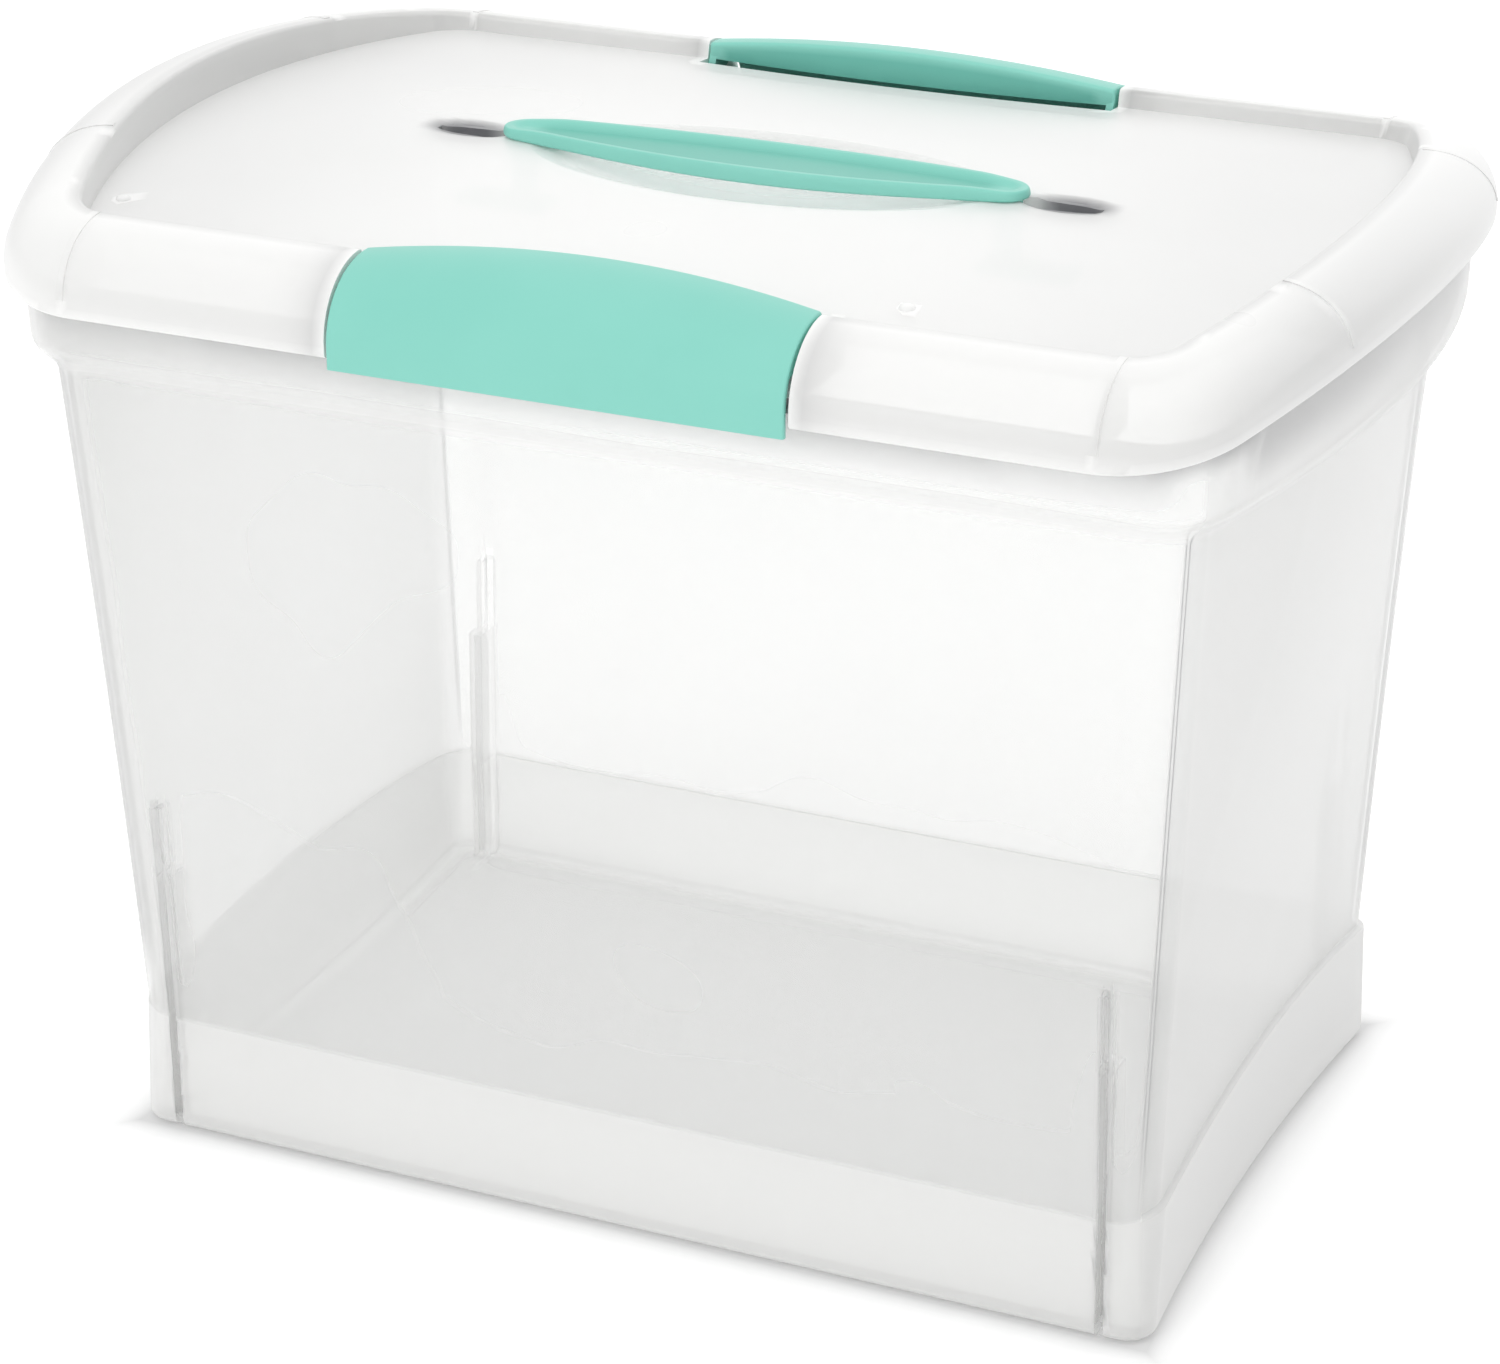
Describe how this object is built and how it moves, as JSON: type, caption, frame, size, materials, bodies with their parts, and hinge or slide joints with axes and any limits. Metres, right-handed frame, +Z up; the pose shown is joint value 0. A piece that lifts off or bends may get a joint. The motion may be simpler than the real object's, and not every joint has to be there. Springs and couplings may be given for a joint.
{
  "type": "portable file box",
  "caption": "Translucent box for standing file folders, with a lift-off lid, two swing latches on the long sides and a strap handle over a finger dish.",
  "frame": {"origin": "centre of the foot, on the surface the box stands on", "axes": "+X along the long side, -Y towards the front latch, +Z up"},
  "size_m": [0.413, 0.2742, 0.3081],
  "materials": {
    "clear_body": "translucent moulded polypropylene with a fine satin face",
    "clear_lid": "translucent moulded polypropylene, satin",
    "teal_latch": "opaque moulded plastic, satin",
    "teal_handle": "opaque moulded plastic, satin"
  },
  "bodies": {
    "box": {"box_body": "clear_body"},
    "cover": {"lid": "clear_lid"},
    "front_catch": {"front_latch": "teal_latch"},
    "back_catch": {"back_latch": "teal_latch"},
    "handle": {"carry_handle": "teal_handle"}
  },
  "joints": [
    {"name": "lid_lift", "type": "slide", "parent": "box", "child": "cover", "axis": [0, 0, 1], "range_m": [0, 0.12]},
    {"name": "front_latch_hinge", "type": "hinge", "parent": "cover", "child": "front_catch", "pos_m": [0, -0.1134, 0.2865], "axis": [-1, 0, 0], "range_deg": [0, 36]},
    {"name": "back_latch_hinge", "type": "hinge", "parent": "cover", "child": "back_catch", "pos_m": [0, 0.1134, 0.2865], "axis": [1, 0, 0], "range_deg": [0, 36]},
    {"name": "handle_lift", "type": "slide", "parent": "cover", "child": "handle", "axis": [0, 0, 1], "range_m": [0, 0.0138]}
  ]
}
